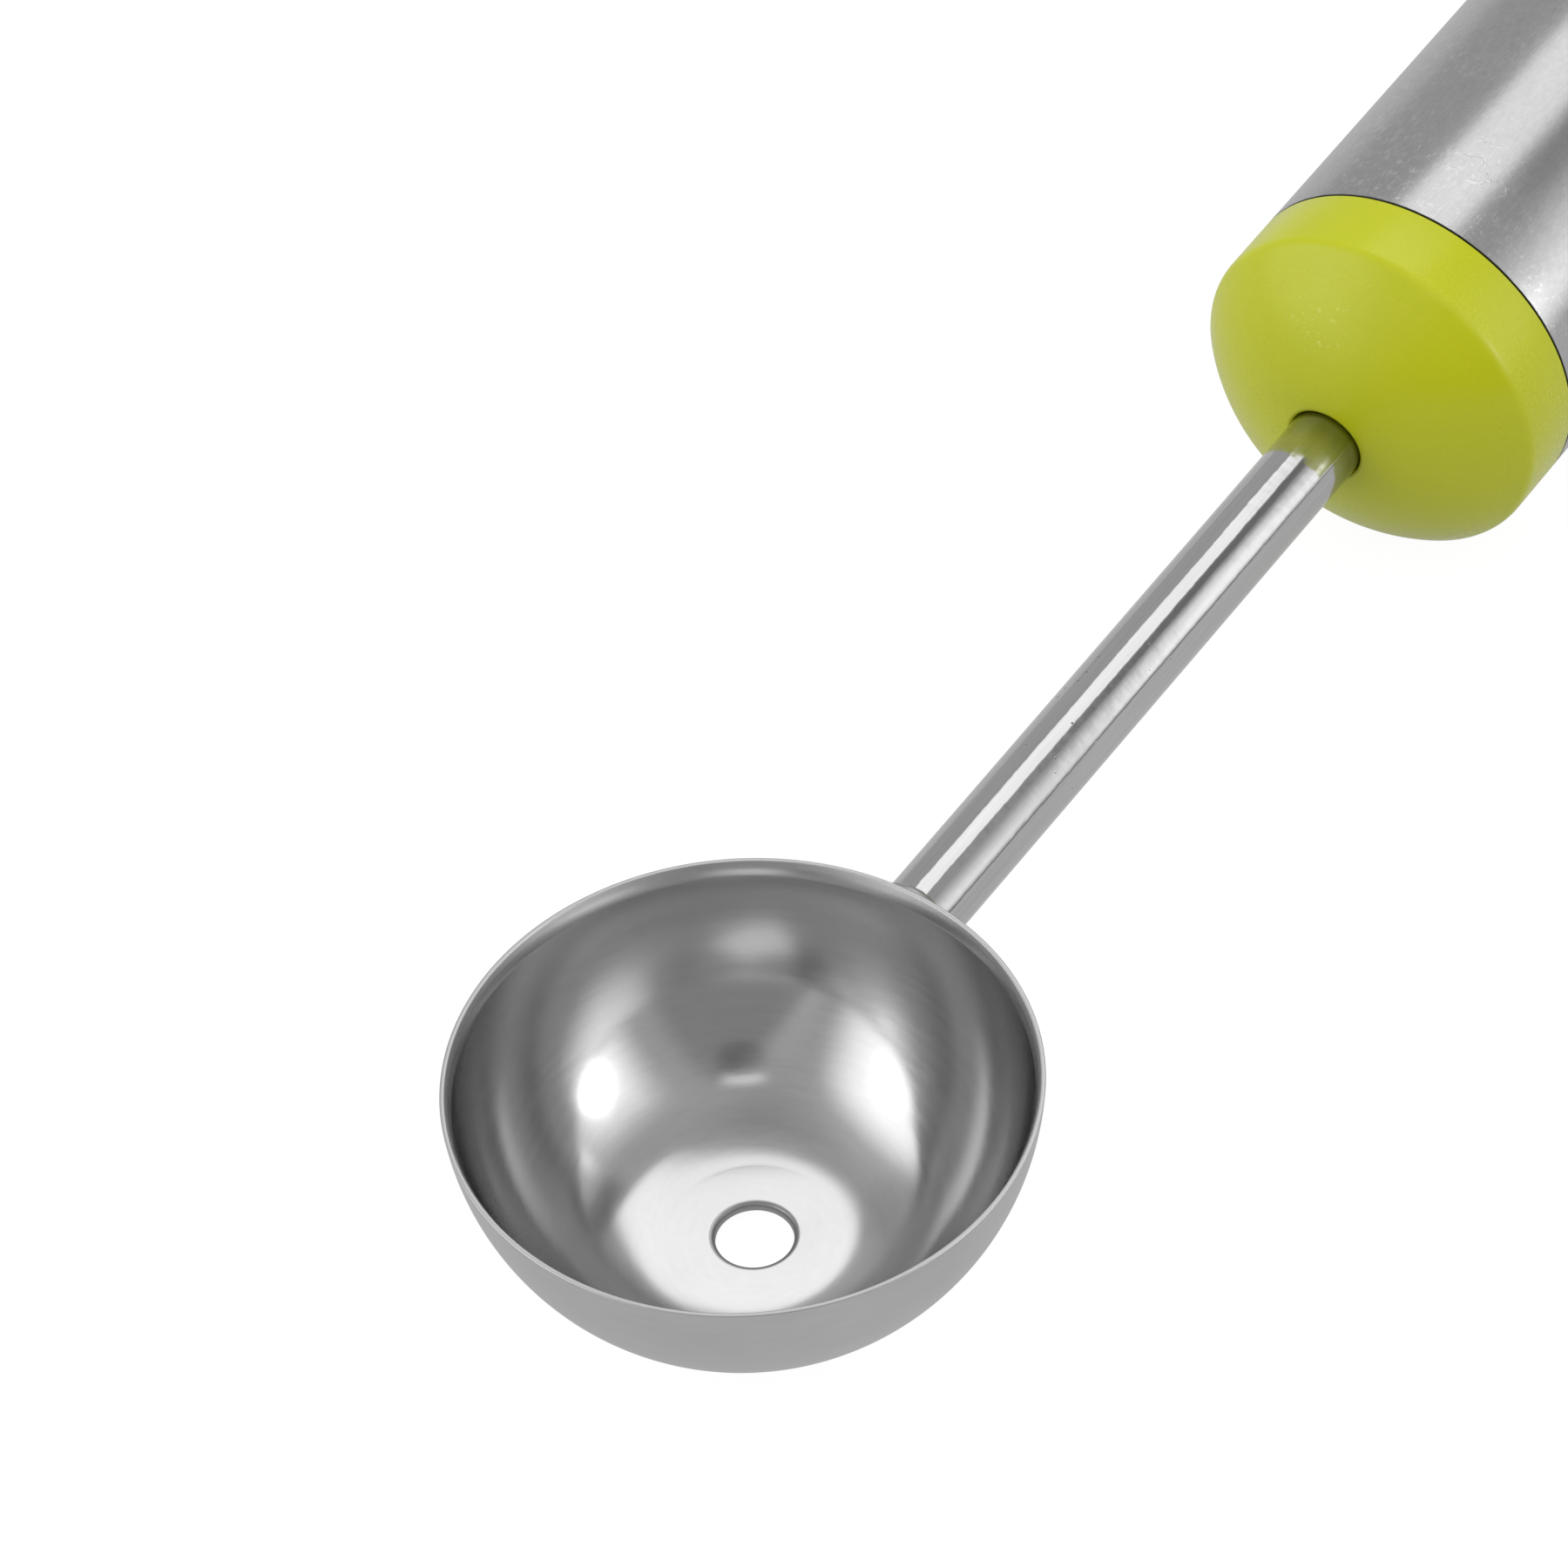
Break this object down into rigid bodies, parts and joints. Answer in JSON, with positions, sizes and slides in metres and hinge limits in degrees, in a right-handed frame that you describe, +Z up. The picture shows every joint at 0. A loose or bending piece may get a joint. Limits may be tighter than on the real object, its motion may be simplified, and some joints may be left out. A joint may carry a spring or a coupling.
{
  "type": "melon baller",
  "caption": "Hand tool that cuts balls of melon: a round steel bowl on a slim steel rod, a brushed tubular handle, a moulded collar and a cap with a hanging hole.",
  "frame": {"origin": "on the surface the tool lies on, under the middle of its box", "axes": "+Y along the tool from the bowl to the end cap, +Z up out of the open bowl, +X to the right of the tool"},
  "size_m": [0.03, 0.1902, 0.0201],
  "materials": {
    "bowl_steel": "pressed stainless sheet, satin polished inside and out",
    "rod_steel": "bright polished stainless rod",
    "weld_steel": "cleaned weld metal",
    "tube_steel": "lengthwise brushed stainless tube",
    "lime_plastic": "satin moulded lime green plastic",
    "plug_plastic": "hard moulded grey plastic",
    "spring_steel": "blued spring steel"
  },
  "bodies": {
    "root": {"bowl": "bowl_steel", "rod": "rod_steel", "weld_bead": "weld_steel", "handle_tube": "tube_steel", "front_collar": "lime_plastic", "anchor_plug": "plug_plastic", "push_nut": "spring_steel", "end_cap": "lime_plastic"}
  },
  "joints": []
}
